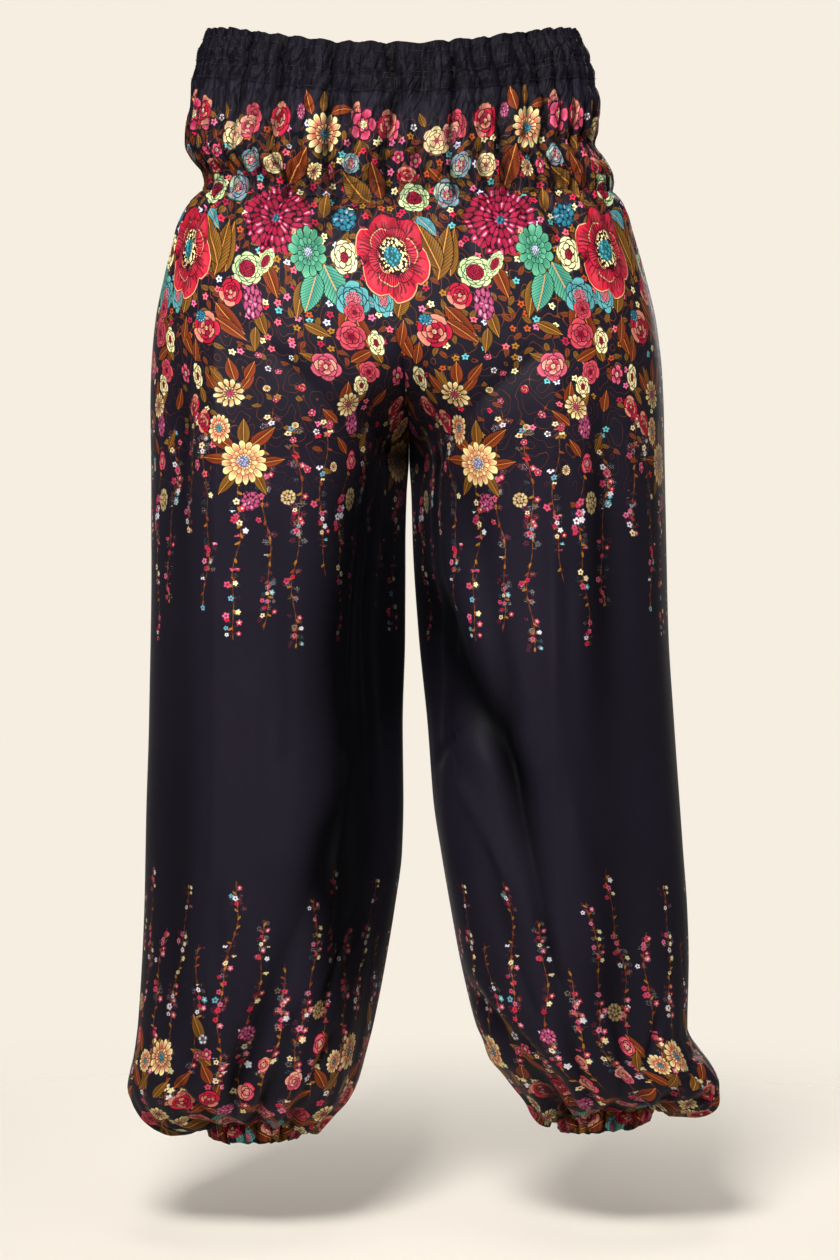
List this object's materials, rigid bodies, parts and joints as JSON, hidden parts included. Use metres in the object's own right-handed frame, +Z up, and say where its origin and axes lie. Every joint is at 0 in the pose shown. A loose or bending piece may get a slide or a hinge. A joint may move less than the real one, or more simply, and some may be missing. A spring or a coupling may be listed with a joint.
{
  "type": "harem pants",
  "caption": "Loose printed trousers with an elastic waist, a gathered yoke, full legs and narrow elastic ankle casings, held in the form they take when worn.",
  "frame": {"origin": "middle of the waist opening, level with the upper stitching of the waist casing at the sides", "axes": "+Z up along the garment, +Y the way the wearer faces, +X the wearer's right"},
  "size_m": [0.5222, 0.2835, 0.9709],
  "materials": {
    "printed_cloth": "matt woven viscose with a printed floral pattern on navy",
    "casing_cloth": "matt woven viscose, plain navy, gathered on elastic"
  },
  "bodies": {
    "root": {"waist_casing_back": "casing_cloth", "waist_casing_front": "casing_cloth", "waist_channel_back": "casing_cloth", "waist_channel_front": "casing_cloth", "hip_yoke_back": "printed_cloth", "hip_yoke_front": "printed_cloth", "hip_band_back": "printed_cloth", "hip_band_front": "printed_cloth", "leg_back_left": "printed_cloth", "leg_back_right": "printed_cloth", "leg_front_left": "printed_cloth", "leg_front_right": "printed_cloth", "cuff_left": "casing_cloth", "cuff_right": "casing_cloth"}
  },
  "joints": []
}
